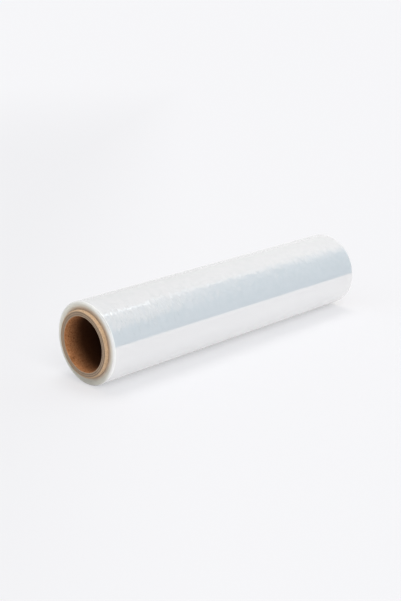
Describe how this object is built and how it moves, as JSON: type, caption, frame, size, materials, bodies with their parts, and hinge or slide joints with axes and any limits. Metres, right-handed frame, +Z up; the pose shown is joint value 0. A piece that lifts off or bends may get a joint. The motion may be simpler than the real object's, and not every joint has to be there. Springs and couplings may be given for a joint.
{
  "type": "stretch wrap roll",
  "caption": "Hand roll of clear stretch film wound on a thick paper core, lying on its side on a narrow flat, with the core standing a little proud of both ends.",
  "frame": {"origin": "under the middle of the roll, on the surface it lies on", "axes": "+X along the core, from one end to the other; +Z up, from the flat that the roll lies on towards its top; +Y across the roll"},
  "size_m": [0.518, 0.115, 0.1146],
  "materials": {
    "core_board": "spiral-wound greyboard with a kraft outer ply, matte, a little fuzzy at the cut ends",
    "clear_film": "clear film wound in many turns, glossy and slightly milky, with fine streaks round the roll"
  },
  "bodies": {
    "root": {"core_tube": "core_board", "film_roll": "clear_film"}
  },
  "joints": []
}
